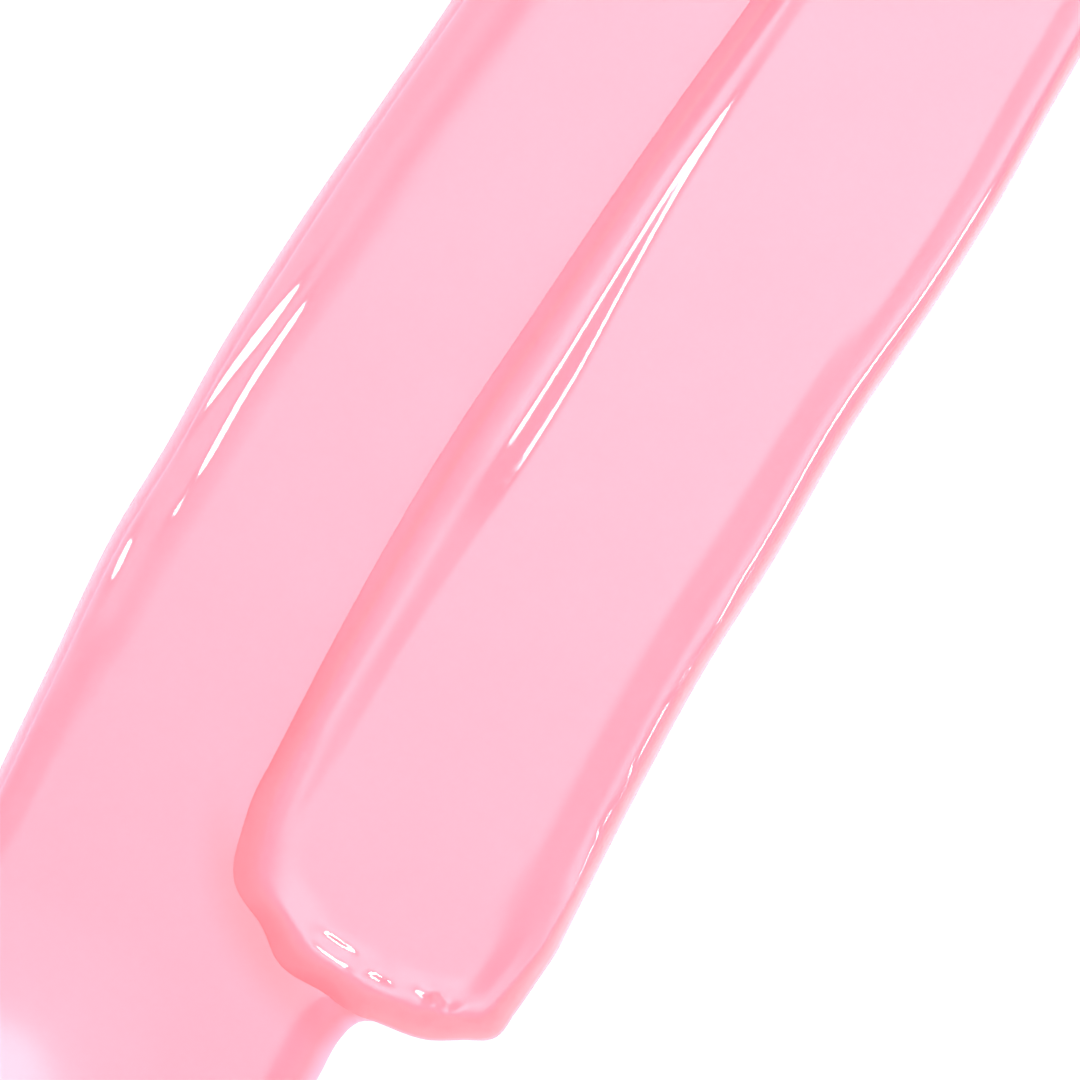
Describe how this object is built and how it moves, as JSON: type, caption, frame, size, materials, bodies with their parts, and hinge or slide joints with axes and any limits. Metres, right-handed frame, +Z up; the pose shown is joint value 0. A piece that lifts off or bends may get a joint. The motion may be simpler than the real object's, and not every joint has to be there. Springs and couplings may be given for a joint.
{
  "type": "lip gloss tube",
  "caption": "Round screw-cap lip gloss tube with a clear bottle, a doe-foot wand on the cap and a wiper in the neck, standing beside a smear of its gloss, drawn out in overlapping strokes.",
  "frame": {"origin": "centre of the tube's flat base, on the surface that the tube and the smear rest on", "axes": "+Z up along the tube's axis, from the base to the cap; the smear lies towards -Y, and its strokes run 60 degrees from +X"},
  "size_m": [0.042, 0.0766, 0.1064],
  "materials": {
    "clear_wall": "clear, polished thick-walled plastic",
    "gloss": "opaque milky pink gloss, wet",
    "gloss_film": "thin wet film of pink gloss",
    "gloss_under": "opaque pink gloss, wet, drawn out thin",
    "gloss_over": "opaque pink gloss, wet, drawn out thin",
    "soft_plastic": "natural soft polyethylene",
    "liner_plastic": "white polypropylene",
    "rod_plastic": "smooth white plastic",
    "cap_plastic": "satin blush plastic",
    "trim": "polished rose-gold trim",
    "steel": "turned steel",
    "gasket": "soft foam",
    "label": "blank satin sticker",
    "tip_plastic": "flexible plastic",
    "flock": "short nylon flock soaked in gloss"
  },
  "bodies": {
    "smear": {"stroke_under": "gloss_under", "stroke_over": "gloss_over"},
    "bottle_unit": {"bottle": "clear_wall", "gloss_fill": "gloss", "wiper": "soft_plastic", "collar": "trim", "shade_label": "label"},
    "film_unit": {"stem_film": "gloss_film"},
    "seal_unit": {"cap_gasket": "gasket"},
    "cap_and_wand": {"cap_shell": "cap_plastic", "cap_liner": "liner_plastic", "cap_weight": "steel", "cap_top_disc": "trim", "wand_stem": "rod_plastic", "tip_core": "tip_plastic", "tip_flock": "flock"}
  },
  "joints": [
    {"name": "tube_lift", "type": "slide", "parent": "smear", "child": "bottle_unit", "axis": [0, 0, 1], "range_m": [0, 0.1]},
    {"name": "wand_pull", "type": "slide", "parent": "bottle_unit", "child": "film_unit", "axis": [0, 0, 1], "range_m": [0, 0.08]},
    {"name": "cap_lift", "type": "slide", "parent": "film_unit", "child": "seal_unit", "axis": [0, 0, 1], "range_m": [0, 0.0032]},
    {"name": "cap_turn", "type": "hinge", "parent": "seal_unit", "child": "cap_and_wand", "pos_m": [0, 0, 0.07], "axis": [0, 0, 1], "range_deg": [0, 540]}
  ],
  "couplings": [
    {"joint": "cap_lift", "follows": "cap_turn", "m_per_rad": 0.00033423}
  ]
}
